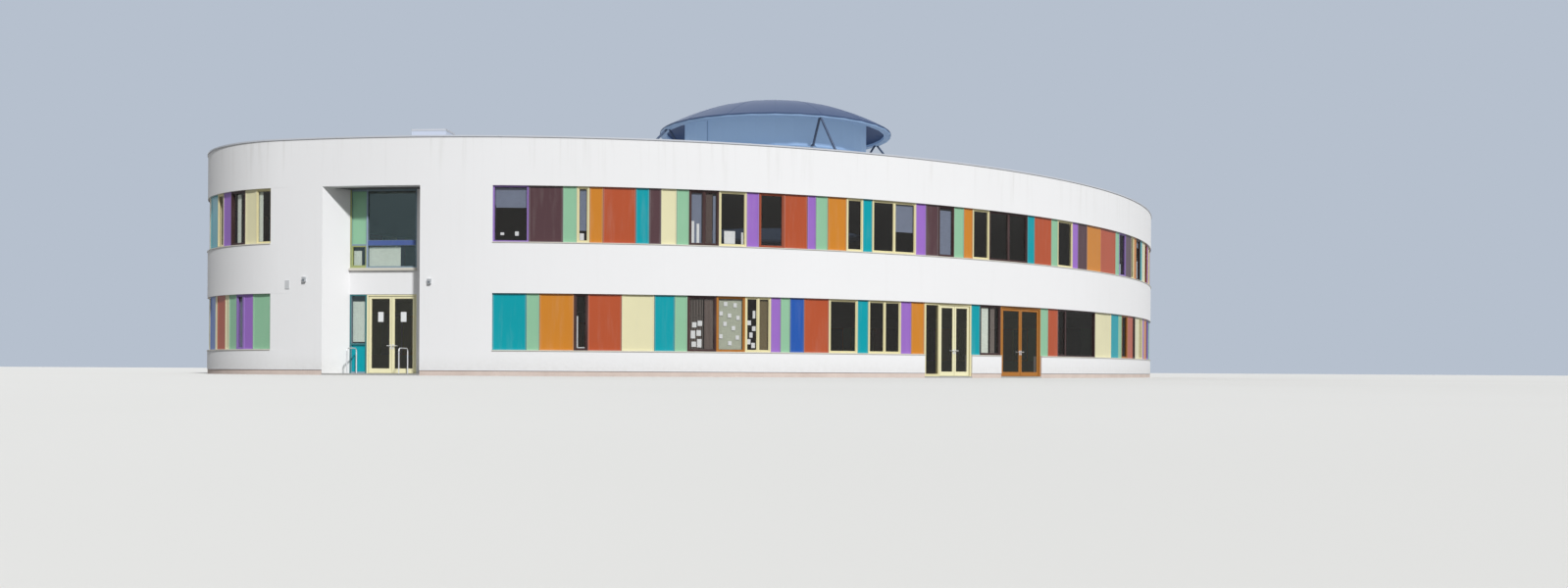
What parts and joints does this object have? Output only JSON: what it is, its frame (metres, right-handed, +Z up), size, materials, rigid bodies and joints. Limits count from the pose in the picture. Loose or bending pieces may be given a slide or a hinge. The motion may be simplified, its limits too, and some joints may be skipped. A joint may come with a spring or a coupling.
{
  "type": "two-storey school building, half-size scale model",
  "caption": "Two-storey oval school building with white rendered walls, bands of coloured panels and windows, a glazed entrance recess and a roof lantern; half-size model.",
  "frame": {"origin": "centre of the oval plan on the ground, under the walls", "axes": "+X along the long axis of the oval to the right as seen from the entrance side, -Y towards the entrance side, +Z up"},
  "size_m": [24.7276, 14.588, 6.59],
  "materials": {
    "render": "painted smooth render",
    "plinth": "fair-faced concrete",
    "concrete": "concrete",
    "metal_trim": "satin",
    "steel": "satin",
    "teal": "satin",
    "mint": "satin",
    "amber": "satin",
    "terracotta": "satin",
    "violet": "satin",
    "cream": "satin",
    "brown": "satin",
    "blue": "satin",
    "blue_grey": "satin",
    "glass": "clear",
    "lantern_skin": "translucent, matte",
    "lantern_frame": "satin"
  },
  "bodies": {
    "building": {"amber_door_frame": "amber", "amber_panels": "amber", "amber_window_frames": "amber", "base_wall_a": "render", "base_wall_b": "render", "blue_panels": "blue", "brown_panels": "brown", "brown_window_frames": "brown", "coping": "metal_trim", "cream_door_frame": "cream", "cream_panels": "cream", "cream_window_frames": "cream", "entrance_door_frame": "cream", "entrance_glass": "glass", "entrance_jambs": "render", "entrance_rails": "steel", "entrance_sidelight_frame": "blue_grey", "entrance_sill": "metal_trim", "entrance_upper_frame": "blue_grey", "entrance_wall": "render", "first_floor": "concrete", "ground_slab": "concrete", "lantern_glass": "glass", "lantern_kerb": "lantern_frame", "lantern_rim": "lantern_frame", "lantern_skin": "lantern_skin", "lantern_struts": "lantern_frame", "lower_glass": "glass", "mint_panels": "mint", "parapet_a": "render", "parapet_b": "render", "piers": "render", "plinth_a": "plinth", "plinth_b": "plinth", "roof_deck": "concrete", "rooflight_box": "lantern_skin", "spandrel_a": "render", "spandrel_b": "render", "teal_panels": "teal", "terracotta_panels": "terracotta", "terracotta_window_frames": "terracotta", "thresholds": "concrete", "upper_glass": "glass", "violet_panels": "violet", "violet_window_frames": "violet", "wall_lights": "metal_trim"},
    "entrance_left": {"entrance_left_leaf": "cream", "entrance_left_pane": "glass"},
    "entrance_right": {"entrance_right_leaf": "cream", "entrance_right_pane": "glass"},
    "cream_door_left": {"cream_door_left_leaf": "cream", "cream_door_left_pane": "glass"},
    "cream_door_right": {"cream_door_right_leaf": "cream", "cream_door_right_pane": "glass"},
    "amber_door_left": {"amber_door_left_leaf": "amber", "amber_door_left_pane": "glass"},
    "amber_door_right": {"amber_door_right_leaf": "amber", "amber_door_right_pane": "glass"}
  },
  "joints": [
    {"name": "entrance_left_swing", "type": "hinge", "parent": "building", "child": "entrance_left", "pos_m": [-10.14788, -2.77864, 0.03], "axis": [0, 0, 1], "range_deg": [0, 90]},
    {"name": "entrance_right_swing", "type": "hinge", "parent": "building", "child": "entrance_right", "pos_m": [-9.51097, -3.35111, 0.03], "axis": [0, 0, -1], "range_deg": [0, 90]},
    {"name": "cream_door_left_swing", "type": "hinge", "parent": "building", "child": "cream_door_left", "pos_m": [-0.43956, -7.2013, 0.03], "axis": [0, 0, 1], "range_deg": [0, 90]},
    {"name": "cream_door_right_swing", "type": "hinge", "parent": "building", "child": "cream_door_right", "pos_m": [0.28593, -7.21308, 0.03], "axis": [0, 0, -1], "range_deg": [0, 90]},
    {"name": "amber_door_left_swing", "type": "hinge", "parent": "building", "child": "amber_door_left", "pos_m": [1.23524, -7.16581, 0.03], "axis": [0, 0, 1], "range_deg": [0, 90]},
    {"name": "amber_door_right_swing", "type": "hinge", "parent": "building", "child": "amber_door_right", "pos_m": [2.39042, -7.02842, 0.03], "axis": [0, 0, -1], "range_deg": [0, 90]}
  ]
}
